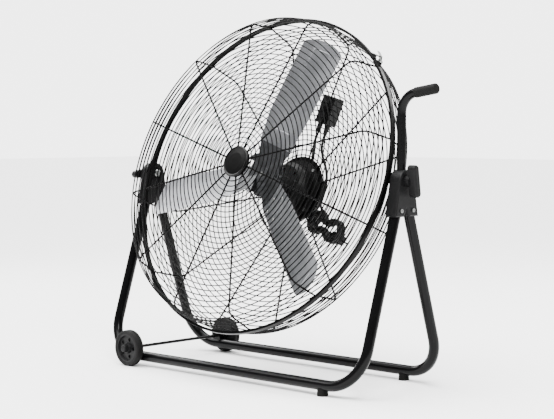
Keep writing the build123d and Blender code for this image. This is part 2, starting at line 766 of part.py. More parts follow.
# ---------------------------------------------------------------- impeller
BLADE_T = 1.6
ARM_T = 3
BLADE_CAMBER = 5        # rise of the blade's edges, over a half chord of 62
HALF_CHORD = 62
RIVETS = ((92, -34), (88, 2), (112, 32), (126, -28))
RIVET_R = 2.1


def blade_plane(angle):
    """Plane of a blade: x along the radius, y along the chord, z towards the front."""
    outward = ASIDE * cos(radians(angle)) + UPWARD * sin(radians(angle))
    sideways = UPWARD * cos(radians(angle)) - ASIDE * sin(radians(angle))
    facing = AHEAD * cos(radians(BLADE_PITCH)) - sideways * sin(radians(BLADE_PITCH))
    return Plane(origin=PIVOT + AHEAD * BLADE_H, x_dir=outward, z_dir=facing)


def camber_rise(across):
    return BLADE_CAMBER * (across / HALF_CHORD) ** 2


def cambered_sheet(plane, top, thick, start, end):
    """A bar with the blade's curved section, from radius start to radius end."""
    cut = Plane(origin=plane.origin + plane.x_dir * start, x_dir=plane.y_dir, z_dir=plane.x_dir)
    low = top - thick
    with BuildSketch(cut) as section:
        with BuildLine():
            ThreePointArc((-HALF_CHORD, top + BLADE_CAMBER), (0, top), (HALF_CHORD, top + BLADE_CAMBER))
            Line((HALF_CHORD, top + BLADE_CAMBER), (HALF_CHORD, low + BLADE_CAMBER))
            ThreePointArc((HALF_CHORD, low + BLADE_CAMBER), (0, low), (-HALF_CHORD, low + BLADE_CAMBER))
            Line((-HALF_CHORD, low + BLADE_CAMBER), (-HALF_CHORD, top + BLADE_CAMBER))
        make_face()
    extrude(section.sketch, amount=end - start)


def rivet_plane(plane, place):
    """Plane on the blade's front face, square to its curved surface."""
    along, across = place
    lean = 2 * BLADE_CAMBER * across / HALF_CHORD**2
    origin = plane.from_local_coords(Vector(along, across, camber_rise(across)))
    facing = plane.z_dir - plane.y_dir * lean
    return Plane(origin=origin, x_dir=plane.x_dir, z_dir=facing)


blade_planes = [blade_plane(BLADE_PHASE + count * 360 / BLADES) for count in range(BLADES)]

for count, plane in enumerate(blade_planes):
    with BuildPart() as blade:
        cambered_sheet(plane, 0, BLADE_T, 70, BLADE_TIP_R)
        with BuildSketch(plane.offset(-20)):
            with BuildLine():
                Polyline((340, 57), (150, 57), (76, 46), (76, -44), (150, -50), (340, -55))
                ThreePointArc((340, -55), (BLADE_TIP_R - 0.5, 0), (340, 57))
            make_face()
            fillet(vertices().group_by(Axis.X)[-1], 12)
        extrude(amount=40, mode=Mode.INTERSECT)
        for place in RIVETS:
            with BuildSketch(rivet_plane(plane, place).offset(-6)):
                Circle(RIVET_R)
            extrude(amount=12, mode=Mode.SUBTRACT)
    save(blade, f"blade_{count + 1}")

ARM_TOP = -BLADE_T - WELD_GAP
ARM_OUTLINE = ((20, 26), (76, 42), (118, 42), (134, 30), (134, -30), (118, -42), (76, -42), (20, -26))
with BuildPart() as impeller_hub:
    for plane in blade_planes:
        cambered_sheet(plane, ARM_TOP, ARM_T, 20, 136)
    # trim the three crossed bars to tapering arms
    with BuildSketch(HEAD.offset(-20)):
        Circle(54)
        for count in range(BLADES):
            turn = BLADE_PHASE + count * 360 / BLADES
            with BuildLine():
                Polyline(*[Vector(*corner).rotate(Axis.Z, turn) for corner in ARM_OUTLINE], close=True)
            make_face()
    extrude(amount=70, mode=Mode.INTERSECT)
    with BuildSketch(HEAD.offset(BLADE_H - 6)):
        Circle(50)
    extrude(amount=ARM_T)
    with BuildSketch(HEAD.offset(-38)):
        Circle(18)
    extrude(amount=HUB_FRONT + 38)
    with BuildSketch(HEAD.offset(-40)):
        Circle(SHAFT_R + 0.02)
    extrude(amount=80, mode=Mode.SUBTRACT)
    for plane in blade_planes:
        for place in RIVETS:
            with BuildSketch(rivet_plane(plane, place).offset(-12)):
                Circle(RIVET_R)
            extrude(amount=24, mode=Mode.SUBTRACT)
save(impeller_hub, "impeller_hub")

RIVET_GRIP = BLADE_T + WELD_GAP + ARM_T
with BuildPart() as blade_rivets:
    for plane in blade_planes:
        for place in RIVETS:
            seat = rivet_plane(plane, place)
            with BuildSketch(seat.offset(WELD_GAP)):
                Circle(4.4)
            extrude(amount=1.6, taper=30)
            with BuildSketch(seat.offset(-RIVET_GRIP - 2)):
                Circle(RIVET_R - 0.02)
            extrude(amount=RIVET_GRIP + 2.5)
            with BuildSketch(seat.offset(-RIVET_GRIP - WELD_GAP - 0.1)):
                Circle(4)
            extrude(amount=-1.5, taper=20)
save(blade_rivets, "blade_rivets")

# ---------------------------------------------------------------- switch box behind the cage
BOX_ANGLE = 75
BOX_MID_R = 213         # between two ring wires of the rear guard
BOX_IN = 18             # the box reaches this far to the handle side of its middle line
BOX_OUT = 26
BOX_HALF = 36
BOX_DEPTH = 32
BOX_WALL = 2.2
BOX_OFF = 5.25          # front of the box, behind the middle of the ribs
LEAD_X = 18             # cable entries in the lower wall
CORD_X = -9
ENTRY_DEPTH = 14
RELIEF_L = 24

(rear_in_r, rear_in_h), (rear_out_r, rear_out_h) = REAR_FACE[0], REAR_FACE[1]
REAR_SLOPE = atan2(rear_out_h - rear_in_h, rear_out_r - rear_in_r)
box_out = ASIDE * cos(radians(BOX_ANGLE)) + UPWARD * sin(radians(BOX_ANGLE))
box_behind = box_out * sin(REAR_SLOPE) - AHEAD * cos(REAR_SLOPE)
box_h = rear_in_h + (BOX_MID_R - rear_in_r) * tan(REAR_SLOPE)
# local x away from the handle side, y outwards, z behind
BOX = Plane(
    origin=spoke_point(BOX_MID_R, BOX_ANGLE, box_h) + box_behind * BOX_OFF,
    x_dir=(box_out * cos(REAR_SLOPE) + AHEAD * sin(REAR_SLOPE)).cross(box_behind),
    z_dir=box_behind,
)
BOX_MID_X = (BOX_OUT - BOX_IN) / 2
BOX_W = BOX_OUT + BOX_IN
SCREW_X = -12.8
KNOB_AT = (7, 10)
SWITCH_SHAFT_R = 3

with BuildPart() as switch_box:
    with BuildSketch(BOX):
        with Locations((BOX_MID_X, 0)):
            RectangleRounded(BOX_W, 2 * BOX_HALF, 4)
    extrude(amount=BOX_DEPTH - 2)
    with BuildSketch(BOX.offset(BOX_WALL)):
        with Locations((BOX_MID_X, 0)):
            RectangleRounded(BOX_W - 2 * BOX_WALL, 2 * (BOX_HALF - BOX_WALL), 2)
    extrude(amount=BOX_DEPTH, mode=Mode.SUBTRACT)
    with BuildSketch(BOX):
        with Locations((SCREW_X, 0)):
            Circle(SCREW_R + TUBE_FIT)
    extrude(amount=BOX_WALL, mode=Mode.SUBTRACT)
    # cable entries in the lower wall
    entry = Plane(origin=BOX.from_local_coords(Vector(0, -BOX_HALF, ENTRY_DEPTH)), x_dir=BOX.x_dir, z_dir=BOX.y_dir)
    with BuildSketch(entry):
        with Locations((LEAD_X, 0), (CORD_X, 0)):
            Circle(CORD_R + 0.9)
    extrude(amount=BOX_WALL + 1, mode=Mode.SUBTRACT)
save(switch_box, "switch_box")

with BuildPart() as switch_box_lid:
    with BuildSketch(BOX.offset(BOX_DEPTH - 2 + TUBE_FIT)):
        with Locations((BOX_MID_X, 0)):
            RectangleRounded(BOX_W, 2 * BOX_HALF, 4)
        with Locations(KNOB_AT):
            Circle(SWITCH_SHAFT_R + 0.5, mode=Mode.SUBTRACT)
    extrude(amount=2)
save(switch_box_lid, "switch_box_lid")

with BuildPart() as box_clamp:
    with BuildSketch(BOX.offset(-BOX_OFF - SPOKE_R - WELD_GAP)):
        with Locations((-8, 0)):
            RectangleRounded(30, 16, 3)
    extrude(amount=-1.6)
    with BuildSketch(BOX.offset(-BOX_OFF - SPOKE_R - WELD_GAP - 1.6)):
        with Locations((SCREW_X, 0)):
            Circle(8)
    extrude(amount=-1.4)
    with BuildSketch(BOX.offset(-BOX_OFF - SPOKE_R - WELD_GAP - 3)):
        with Locations((SCREW_X, 0)):
            Circle(4.6)
    extrude(amount=-2.6, taper=15)
    with BuildSketch(BOX.offset(BOX_WALL + 1.5)):
        with Locations((SCREW_X, 0)):
            Circle(SCREW_R)
    extrude(amount=-BOX_WALL - BOX_OFF - SPOKE_R - 2)
save(box_clamp, "box_clamp")

with BuildPart() as rotary_switch:
    with BuildSketch(BOX.offset(BOX_DEPTH - 14.5)):
        with Locations(KNOB_AT):
            RectangleRounded(26, 22, 3)
    extrude(amount=12)
    with BuildSketch(BOX.offset(BOX_DEPTH - 10.5)):
        with Locations(KNOB_AT):
            Circle(SWITCH_SHAFT_R + RUN_CLEAR)
    extrude(amount=9, mode=Mode.SUBTRACT)
save(rotary_switch, "rotary_switch")

with BuildPart() as run_capacitor:
    with BuildSketch(BOX.offset(BOX_WALL + TUBE_FIT)):
        with Locations((10, -17)):
            RectangleRounded(26, 20, 3)
    extrude(amount=11)
save(run_capacitor, "run_capacitor")

with BuildPart() as speed_knob:
    with BuildSketch(BOX.offset(BOX_DEPTH + 0.4)):
        with Locations(KNOB_AT):
            Circle(15)
    extrude(amount=6, taper=4)
    with BuildSketch(BOX.offset(BOX_DEPTH + 0.4)):
        with Locations(KNOB_AT):
            SlotOverall(26, 8, rotation=90)
    extrude(amount=14)
    with BuildSketch(BOX.offset(BOX_DEPTH - 10)):
        with Locations(KNOB_AT):
            Circle(SWITCH_SHAFT_R)
    extrude(amount=12)
save(speed_knob, "speed_knob")

# ---------------------------------------------------------------- cables
with BuildPart() as cord_reliefs:
    for entry_x in (LEAD_X, CORD_X):
        start = Plane(
            origin=BOX.from_local_coords(Vector(entry_x, -BOX_HALF + BOX_WALL, ENTRY_DEPTH)),
            x_dir=BOX.x_dir,
            z_dir=BOX.y_dir * -1,
        )
        with BuildSketch(start):
            Circle(CORD_R + 0.85)
        extrude(amount=BOX_WALL + 2)
        with BuildSketch(start.offset(BOX_WALL + 0.1)):
            Circle(7)
        extrude(amount=RELIEF_L - 0.1, taper=4)
        with BuildSketch(start):
            Circle(CORD_R + 0.02)
        extrude(amount=BOX_WALL + RELIEF_L, mode=Mode.SUBTRACT)
save(cord_reliefs, "cord_reliefs")


def cable(corners, name):
    """Sweep a round cable along straight runs joined by tangent arcs."""
    runs = [after - before for before, after in zip(corners, corners[1:])]
    radii = []
    for run, next_run in zip(runs, runs[1:]):
        turn = radians(run.get_angle(next_run))
        radii.append(0.45 * min(run.length, next_run.length) / tan(turn / 2))
    print(name, "bend radii", [round(radius, 1) for radius in radii])
    with BuildPart() as tube:
        with BuildLine():
            route = FilletPolyline(*corners, radius=radii)
        with BuildSketch(Plane(origin=route @ 0, z_dir=route % 0)) as section:
            Circle(CORD_R)
        sweep(section.sketch, path=route)
    length = route.length
    print(name, "length", round(length, 1), "volume share", round(tube.part.volume / (pi * CORD_R**2 * length), 4))
    save(tube, name)


def entry_point(entry_x):
    """Where a cable starts, at the lower end of its strain relief."""
    return BOX.from_local_coords(Vector(entry_x, -BOX_HALF - RELIEF_L - 0.8, ENTRY_DEPTH))


cable(
    [
        entry_point(LEAD_X),
        head_point(13, 126, -119),
        head_point(11, 95, -128),
        head_point(11.3, 65.6, -130),
    ],
    "motor_lead",
)
cable(
    [
        entry_point(CORD_X),
        head_point(44, 118, -113),
        head_point(56, 88, -118),
        head_point(74, 60, -121),
        head_point(84, 28, -122),
        head_point(84, -5, -119),
        head_point(89, -34, -112.6),
    ],
    "power_cord",
)

# ---------------------------------------------------------------- the spare cord, hanked and tied
HANK_AT = (118, -86)
HANK_LEAN = -20
HANK_FRONT = -108.3
HANK_T = 22.4
TIE_AT = -3.4
TIE_W = 4.4
TIE_T = 1
TIE_FRONT = -94.2       # the tie passes in front of one ring wire
HANK = Plane(
    origin=head_point(*HANK_AT, HANK_FRONT),
    x_dir=ASIDE * cos(radians(HANK_LEAN)) + UPWARD * sin(radians(HANK_LEAN)),
    z_dir=AHEAD * -1,
)

HANK_OUTLINE = (
    (-53.5, 0),
    (-45, 21),
    (-25, 30.5),
    (TIE_AT, 15.8),
    (24, 31),
    (46, 21),
    (54, 0),
    (45, -22),
    (24, -31),
    (TIE_AT, -15.8),
    (-25, -30.5),
    (-45, -21),
)

with BuildPart() as cord_hank:
    with BuildSketch(HANK):
        with BuildLine():
            Spline(*HANK_OUTLINE, periodic=True)
        make_face()
    extrude(amount=HANK_T)
    fillet(cord_hank.faces().filter_by(HANK).edges(), 7)
save(cord_hank, "cord_hank")

with BuildPart() as hank_tie:
    tie_plane = Plane(origin=HANK.from_local_coords(Vector(TIE_AT - TIE_W / 2, 0, 0)), x_dir=HANK.y_dir, z_dir=HANK.x_dir)
    tie_low = HANK_FRONT - TIE_FRONT - TIE_T
    with BuildSketch(tie_plane):
        with Locations((0, (HANK_T + TIE_T + 0.2 + tie_low) / 2)):
            RectangleRounded(34.6, HANK_T + TIE_T + 0.2 - tie_low, 3)
            RectangleRounded(32.6, HANK_T - TIE_T + 0.2 - tie_low, 2, mode=Mode.SUBTRACT)
    extrude(amount=TIE_W)
save(hank_tie, "hank_tie")

PLUG_T = 18
PLUG_END = 48
PLUG_AT = 11           # the plug lies this far to one side of the hank's middle
with BuildPart() as power_plug:
    plug_plane = Plane(origin=HANK.from_local_coords(Vector(0, PLUG_AT, HANK_T + 0.25)), x_dir=HANK.x_dir, z_dir=HANK.z_dir)
    with BuildSketch(plug_plane):
        with BuildLine():
            Polyline((16, -9), (22, -12), (PLUG_END, -12), (PLUG_END, 12), (22, 12), (16, 9), close=True)
        make_face()
    extrude(amount=PLUG_T)
    fillet(power_plug.edges().filter_by(Axis(PIVOT, HANK.x_dir)), 2.5)
    nose = Plane(origin=plug_plane.from_local_coords(Vector(18, 0, PLUG_T / 2)), x_dir=HANK.y_dir, z_dir=HANK.x_dir * -1)
    with BuildSketch(nose):
        Circle(6.3)
    extrude(amount=20, taper=4)
    face_plane = Plane(origin=plug_plane.from_local_coords(Vector(PLUG_END, 0, PLUG_T / 2)), x_dir=HANK.y_dir, z_dir=HANK.x_dir)
    with BuildSketch(face_plane.offset(-3)):
        with Locations((-6.35, -2.5), (6.35, -2.5)):
            Rectangle(1.5, 6.4)
        with Locations((0, 4.5)):
            Circle(2.4)
    extrude(amount=18.8)
save(power_plug, "power_plug")
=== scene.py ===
import bpy
import bmesh
import json
from math import cos, radians, sin
from mathutils import Matrix, Vector


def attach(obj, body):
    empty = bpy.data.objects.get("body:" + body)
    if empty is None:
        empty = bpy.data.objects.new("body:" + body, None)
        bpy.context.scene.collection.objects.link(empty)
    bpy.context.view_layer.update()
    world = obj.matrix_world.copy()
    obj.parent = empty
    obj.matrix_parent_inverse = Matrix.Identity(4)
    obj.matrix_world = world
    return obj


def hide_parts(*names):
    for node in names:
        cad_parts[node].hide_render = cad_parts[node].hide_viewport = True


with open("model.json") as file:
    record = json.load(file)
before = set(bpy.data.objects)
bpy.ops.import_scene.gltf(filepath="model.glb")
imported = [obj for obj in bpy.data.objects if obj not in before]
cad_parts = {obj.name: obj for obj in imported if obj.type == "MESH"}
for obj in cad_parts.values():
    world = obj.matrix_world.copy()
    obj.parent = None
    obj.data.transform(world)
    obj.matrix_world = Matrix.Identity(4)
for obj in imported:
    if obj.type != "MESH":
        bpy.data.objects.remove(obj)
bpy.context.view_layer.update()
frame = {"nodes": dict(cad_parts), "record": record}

# ---------------------------------------------------------------- the fan head's own directions
# The head looks up by its rest tilt.  Distances here are in metres.
TILT = radians(19.9)
PIVOT = Vector((0, 0, 0.482))
ASIDE = Vector((1, 0, 0))
UPWARD = Vector((0, sin(TILT), cos(TILT)))
AHEAD = Vector((0, -cos(TILT), sin(TILT)))


def head_point(across, up, ahead):
    """A point of the head from its sideways, upward and forward distances in mm."""
    return PIVOT + (ASIDE * across + UPWARD * up + AHEAD * ahead) * 0.001


# ---------------------------------------------------------------- camera
camera_data = bpy.data.cameras.new("camera")
camera_data.lens = 95.9
camera_data.sensor_width = 36
camera_data.clip_end = 50
camera = bpy.data.objects.new("camera", camera_data)
bpy.context.scene.collection.objects.link(camera)
camera.location = (2.5107, -2.5925, 0.6056)
camera.rotation_euler = (radians(90 - 3.237), 0, radians(43.709))
bpy.context.scene.camera = camera

# ---------------------------------------------------------------- the power cord and its hank
CORD_D = 0.0068

# The hank, in mm in its own directions.
LAYER = 7.0             # between layers of turns
FIRST_LAYER = 4.1
INNER_BEND = 20.6       # radius of the inner and outer turns at the hank's ends
OUTER_BEND = 27.6
INNER_WAIST = 5.6       # where they are steered through the tie
OUTER_WAIST = 8.2
TIE_AT = -3.4
TIE_PASS = 9            # half the straight length of an inner turn at the tie
BEND_AT = 29            # centres of the end bends, either side of the middle
PLUG_DEPTH = 31.65
TURNS = 6
END_POINTS = 6          # points round each end

HANK_LEAN = radians(-20)
hank_along = ASIDE * cos(HANK_LEAN) + UPWARD * sin(HANK_LEAN)
hank_across = UPWARD * cos(HANK_LEAN) - ASIDE * sin(HANK_LEAN)
hank_middle = head_point(118, -86, -108.3)


def hank_point(along, across, behind):
    """A point in the hank's own directions, in mm from the middle of its front."""
    return hank_middle + (hank_along * along + hank_across * across - AHEAD * behind) * 0.001


# The route from the mouth of the strain relief down to the hank.
RELIEF_MOUTH = Vector((0.048885, 0.154693, 0.583046))
route = [
    RELIEF_MOUTH,
    head_point(44, 118, -113),
    head_point(56, 88, -118),
    head_point(74, 60, -121),
    head_point(84, 28, -122),
    head_point(84, -5, -119),
    head_point(89, -34, -112.6),
]

# Each turn passes the tie, goes round the right-hand end, passes the tie again and goes
# round the left-hand end.  Inner turns go straight through the tie and outer turns bow in
# to it, so that they stay about a cord's width apart.
FAN_START = 102
FAN_STEP = 2 * FAN_START / (END_POINTS - 1)
FAN = 1 / cos(radians(FAN_STEP / 2))
RING_OF = [1, 0, 0, 1, 1, 0]
LAYER_OF = [0, 0, 1, 1, 2, 2]


def through_tie(outer, side, layer):
    """Where a turn passes the tie on its upper (1) or lower (-1) side."""
    if outer:
        return [hank_point(TIE_AT, side * OUTER_WAIST, layer)]
    return [
        hank_point(TIE_AT - side * TIE_PASS, side * INNER_WAIST, layer),
        hank_point(TIE_AT + side * TIE_PASS, side * INNER_WAIST, layer),
    ]


def round_end(outer, side, layer):
    """Round the right-hand (1) or left-hand (-1) end."""
    reach = FAN * (OUTER_BEND if outer else INNER_BEND)
    angles = [radians(FAN_START - FAN_STEP * step) for step in range(END_POINTS)]
    return [
        hank_point(side * (BEND_AT + reach * cos(angle)), side * reach * sin(angle), layer)
        for angle in angles
    ]


route.append(hank_point(-34, 32.5, FIRST_LAYER))
route.append(hank_point(-19, 28.9, FIRST_LAYER))
for turn in range(TURNS):
    outer = RING_OF[turn]
    layer = FIRST_LAYER + LAYER * LAYER_OF[turn]
    route += through_tie(outer, 1, layer)
    route += round_end(outer, 1, layer)
    if turn == TURNS - 1:
        break
    route += through_tie(outer, -1, layer)
    # a turn moves over to the next ring or layer at the left-hand end, and each a little
    # sooner than the one before it
    following = FIRST_LAYER + LAYER * LAYER_OF[turn + 1]
    move = TURNS - 1 - turn
    route += round_end(outer, -1, layer)[:move]
    route += round_end(RING_OF[turn + 1], -1, following)[move:]

# The last stretch rises round the left-hand end and comes forward into the plug.
route += [
    hank_point(5.6, -5.6, 18.1),
    hank_point(-10, -6, 18.9),
    hank_point(-25, -12, 24.5),
    hank_point(-39, -18.5, 27.5),
    hank_point(-51, -13, 29.5),
    hank_point(-55, 2, 30.7),
    hank_point(-46, 16, 31.4),
    hank_point(-31, 19, PLUG_DEPTH),
    hank_point(-15, 12.5, PLUG_DEPTH),
    hank_point(-1, 11, PLUG_DEPTH),
]

cord_curve = bpy.data.curves.new("power_lead", "CURVE")
cord_curve.dimensions = "3D"
cord_curve.bevel_depth = 1
cord_curve.bevel_resolution = 4
cord_curve.resolution_u = 6
cord_curve.use_fill_caps = True
line = cord_curve.splines.new("NURBS")
line.points.add(len(route) - 1)
for point, place in zip(line.points, route):
    point.co = (*place, 1)
    point.radius = CORD_D / 2
line.order_u = 3
line.use_endpoint_u = True
power_lead = bpy.data.objects.new("power_lead", cord_curve)
bpy.context.scene.collection.objects.link(power_lead)
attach(power_lead, "head")
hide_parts("power_cord", "cord_hank")

# ---------------------------------------------------------------- materials


def linear(code):
    """An sRGB hex colour as linear values, opaque."""
    channels = [int(code[place:place + 2], 16) / 255 for place in (1, 3, 5)]
    return [c / 12.92 if c <= 0.04045 else ((c + 0.055) / 1.055) ** 2.4 for c in channels] + [1]


def add(tree, kind, settings=(), links=()):
    """Add a node; settings are (name, value) and links are (input, source socket)."""
    node = tree.nodes.new(kind)
    for name, value in dict(settings).items():
        if name in node.inputs:
            node.inputs[name].default_value = value
        else:
            setattr(node, name, value)
    for name, source in dict(links).items():
        tree.links.new(source, node.inputs[name])
    return node


def start(name, dark, light, shader):
    """A new material with a Principled shader and the object's own coordinates."""
    material = bpy.data.materials.new(name)
    material.use_nodes = True
    tree = material.node_tree
    tree.nodes.clear()
    place = add(tree, "ShaderNodeTexCoord").outputs["Object"]
    body = add(tree, "ShaderNodeBsdfPrincipled", shader)
    out = add(tree, "ShaderNodeOutputMaterial")
    tree.links.new(body.outputs["BSDF"], out.inputs["Surface"])
    ramp = add(tree, "ShaderNodeValToRGB")
    ramp.color_ramp.elements[0].color = linear(dark)
    ramp.color_ramp.elements[1].color = linear(light)
    tree.links.new(ramp.outputs["Color"], body.inputs["Base Color"])
    return material, tree, place, body, ramp


def rough_between(tree, body, pattern, low, high):
    """Let a pattern move the roughness between two values."""
    spread = add(tree, "ShaderNodeMapRange", {"To Min": low, "To Max": high}, {"Value": pattern})
    tree.links.new(spread.outputs["Result"], body.inputs["Roughness"])


def bump_from(tree, body, pattern, depth):
    """Raise the surface by a pattern, depth in metres."""
    bump = add(tree, "ShaderNodeBump", {"Distance": depth, "Strength": 1.0}, {"Height": pattern})
    tree.links.new(bump.outputs["Normal"], body.inputs["Normal"])


def noise(tree, place, size, detail=2.0):
    """Noise whose patches are about size millimetres across."""
    node = add(
        tree,
        "ShaderNodeTexNoise",
        {"Scale": 1000 / size, "Detail": detail, "Roughness": 0.5},
        {"Vector": place},
    )
    return node.outputs["Fac"]


# Powder coat, sprayed and baked on steel tube: a deep black with thin highlights, broken by
# a fine orange peel about 1.5 mm across and a slow change of gloss along the tube.
powder_coat, tree, place, body, ramp = start(
    "powder_coat_black", "#030303", "#070708", {"IOR": 1.42, "Specular IOR Level": 0.12}
)
tree.links.new(noise(tree, place, 60), ramp.inputs["Fac"])
rough_between(tree, body, noise(tree, place, 35), 0.16, 0.26)
bump_from(tree, body, noise(tree, place, 1.5), 0.00006)

# Dipped wire enamel on welded rods: black, a little thicker and rounder than powder, with
# dull patches some 20 mm long where the dip ran.
wire_enamel, tree, place, body, ramp = start(
    "dipped_wire_enamel", "#010101", "#030303", {"IOR": 1.4, "Specular IOR Level": 0.07}
)
tree.links.new(noise(tree, place, 22), ramp.inputs["Fac"])
rough_between(tree, body, noise(tree, place, 18), 0.3, 0.48)
bump_from(tree, body, noise(tree, place, 2.5), 0.00008)

# The rolled hoop has the same enamel over sheet steel, with faint marks of the rolls.
hoop_enamel, tree, place, body, ramp = start(
    "enamelled_sheet_hoop", "#010101", "#040404", {"IOR": 1.42, "Specular IOR Level": 0.1}
)
tree.links.new(noise(tree, place, 40), ramp.inputs["Fac"])
rough_between(tree, body, noise(tree, place, 12), 0.24, 0.4)
bump_from(tree, body, noise(tree, place, 3), 0.00006)

# Moulded ABS, spark-eroded mould: charcoal black with a matt grain under a millimetre.
moulded_abs, tree, place, body, ramp = start(
    "moulded_abs_black", "#040404", "#0a0a0b", {"IOR": 1.45, "Specular IOR Level": 0.15}
)
tree.links.new(noise(tree, place, 14), ramp.inputs["Fac"])
rough_between(tree, body, noise(tree, place, 6), 0.42, 0.6)
bump_from(tree, body, noise(tree, place, 0.8, 3.0), 0.00009)

# Polished ABS of the centre badge: a smooth black with a soft gloss and a slow ripple left
# by moulding.
badge_abs, tree, place, body, ramp = start(
    "polished_abs_badge", "#010101", "#040404", {"IOR": 1.42, "Specular IOR Level": 0.15}
)
tree.links.new(noise(tree, place, 25), ramp.inputs["Fac"])
rough_between(tree, body, noise(tree, place, 15), 0.28, 0.38)
bump_from(tree, body, noise(tree, place, 9), 0.00004)

# Vulcanised rubber of the grip and the feet: dead black, dusty, with a skin-like grain.
vulcanised_rubber, tree, place, body, ramp = start(
    "vulcanised_rubber", "#050505", "#0d0d0c", {"IOR": 1.45, "Specular IOR Level": 0.12}
)
tree.links.new(noise(tree, place, 5, 4.0), ramp.inputs["Fac"])
rough_between(tree, body, noise(tree, place, 3), 0.6, 0.82)
bump_from(tree, body, noise(tree, place, 0.9, 4.0), 0.00012)

# Soft PVC of the lead: smooth and slightly waxy, with no print on it.
pvc_jacket, tree, place, body, ramp = start(
    "pvc_cable_jacket", "#040404", "#0a0a0a", {"IOR": 1.45, "Specular IOR Level": 0.18}
)
tree.links.new(noise(tree, place, 16), ramp.inputs["Fac"])
rough_between(tree, body, noise(tree, place, 9), 0.38, 0.52)
bump_from(tree, body, noise(tree, place, 1.8), 0.00008)

# Moulded polyurethane tyre: dark, with fine rings round it from rolling on a hard floor.
tyre_rubber, tree, place, body, ramp = start(
    "moulded_tyre", "#060606", "#100f0f", {"IOR": 1.45, "Specular IOR Level": 0.14}
)
tree.links.new(noise(tree, place, 7, 5.0), ramp.inputs["Fac"])
rough_between(tree, body, noise(tree, place, 4, 3.0), 0.52, 0.72)
scuff = add(
    tree,
    "ShaderNodeTexWave",
    {"bands_direction": "Y", "Scale": 130, "Distortion": 2.5, "Detail": 2.0},
    {"Vector": place},
)
bump_from(tree, body, scuff.outputs["Fac"], 0.00012)

# Glass-filled nylon of the wheel hubs: moulded grey-black with short flow marks.
nylon_hub, tree, place, body, ramp = start(
    "moulded_nylon_hub", "#060606", "#0e0e0f", {"IOR": 1.45, "Specular IOR Level": 0.2}
)
tree.links.new(noise(tree, place, 9, 3.0), ramp.inputs["Fac"])
rough_between(tree, body, noise(tree, place, 5), 0.4, 0.58)
bump_from(tree, body, noise(tree, place, 1.0, 3.0), 0.0001)

# Zinc plate on steel: pale grey metal, cloudy at 4 mm, with finely scratched highlights.
zinc_plate, tree, place, body, ramp = start(
    "zinc_plated_steel", "#6a6c6d", "#9a9b98", {"Metallic": 1.0}
)
tree.links.new(noise(tree, place, 4, 3.0), ramp.inputs["Fac"])
rough_between(tree, body, noise(tree, place, 2, 3.0), 0.26, 0.46)
bump_from(tree, body, noise(tree, place, 0.7, 3.0), 0.00004)

# Rolled aluminium sheet of the blades: satin grey, with rolling lines about 1.5 mm apart
# drawn out along the sheet and slow clouds of handling across it.
rolled_aluminium, tree, place, body, ramp = start(
    "rolled_aluminium_sheet", "#66676a", "#97989b", {"Metallic": 1.0}
)
tree.links.new(noise(tree, place, 70, 3.0), ramp.inputs["Fac"])
rough_between(tree, body, noise(tree, place, 30, 3.0), 0.3, 0.46)
drawn = add(tree, "ShaderNodeMapping", {"Scale": (1.0, 0.12, 1.0)}, {"Vector": place})
bump_from(tree, body, noise(tree, drawn.outputs["Vector"], 1.5, 3.0), 0.00005)

# Pressed steel of the blade spider: the same greys, darker, oiled and more worn.
pressed_steel, tree, place, body, ramp = start(
    "pressed_steel_spider", "#2c2d2e", "#565759", {"Metallic": 1.0}
)
tree.links.new(noise(tree, place, 18, 4.0), ramp.inputs["Fac"])
rough_between(tree, body, noise(tree, place, 8, 3.0), 0.32, 0.52)
bump_from(tree, body, noise(tree, place, 1.2, 3.0), 0.00006)

# Painted die casting of the motor shell: black with a cast grain of about 2 mm.
cast_shell, tree, place, body, ramp = start(
    "painted_motor_casting", "#050505", "#0d0d0d", {"IOR": 1.42, "Specular IOR Level": 0.15}
)
tree.links.new(noise(tree, place, 16, 3.0), ramp.inputs["Fac"])
rough_between(tree, body, noise(tree, place, 7, 3.0), 0.34, 0.52)
bump_from(tree, body, noise(tree, place, 2.0, 4.0), 0.00015)

# Enamelled copper wire of the windings: turns about 0.8 mm wide round the ring.
copper_turns, tree, place, body, ramp = start(
    "enamelled_copper_wire", "#5a2413", "#a8552c", {"Metallic": 0.8}
)
turns = add(
    tree,
    "ShaderNodeTexWave",
    {"bands_direction": "DIAGONAL", "Scale": 200, "Distortion": 1.5},
    {"Vector": place},
)
tree.links.new(turns.outputs["Fac"], ramp.inputs["Fac"])
rough_between(tree, body, noise(tree, place, 3), 0.28, 0.42)
bump_from(tree, body, turns.outputs["Fac"], 0.0002)

finish_of = {
    "stand_paint": powder_coat,
    "cage_paint": wire_enamel,
    "hoop_paint": hoop_enamel,
    "moulded_black": moulded_abs,
    "badge_gloss": badge_abs,
    "grip_rubber": vulcanised_rubber,
    "wheel_hub_plastic": nylon_hub,
    "wheel_tyre": tyre_rubber,
    "zinc_steel": zinc_plate,
    "blade_metal": rolled_aluminium,
    "hub_metal": pressed_steel,
    "motor_casting": cast_shell,
    "copper_wire": copper_turns,
}
for row in frame["record"]["subparts"]:
    piece = frame["nodes"][row["node"]]
    piece.data.materials.clear()
    piece.data.materials.append(finish_of[row["material_slot"]])
# leads and their reliefs share a record slot with the rubber but are PVC, and the axle is
# black like the stand
for name in ("power_cord", "motor_lead", "cord_hank", "cord_reliefs"):
    frame["nodes"][name].data.materials.clear()
    frame["nodes"][name].data.materials.append(pvc_jacket)
frame["nodes"]["wheel_axle"].data.materials.clear()
frame["nodes"]["wheel_axle"].data.materials.append(powder_coat)
power_lead.data.materials.append(pvc_jacket)


# ---------------------------------------------------------------- pieces made here


def finished(piece, material, body):
    """Settle a new piece: its place in its mesh, its finish and the body it rides on."""
    bpy.ops.object.select_all(action="DESELECT")
    piece.select_set(True)
    bpy.context.view_layer.objects.active = piece
    bpy.ops.object.transform_apply(location=True, rotation=True, scale=True)
    piece.data.materials.clear()
    piece.data.materials.append(material)
    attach(piece, body)


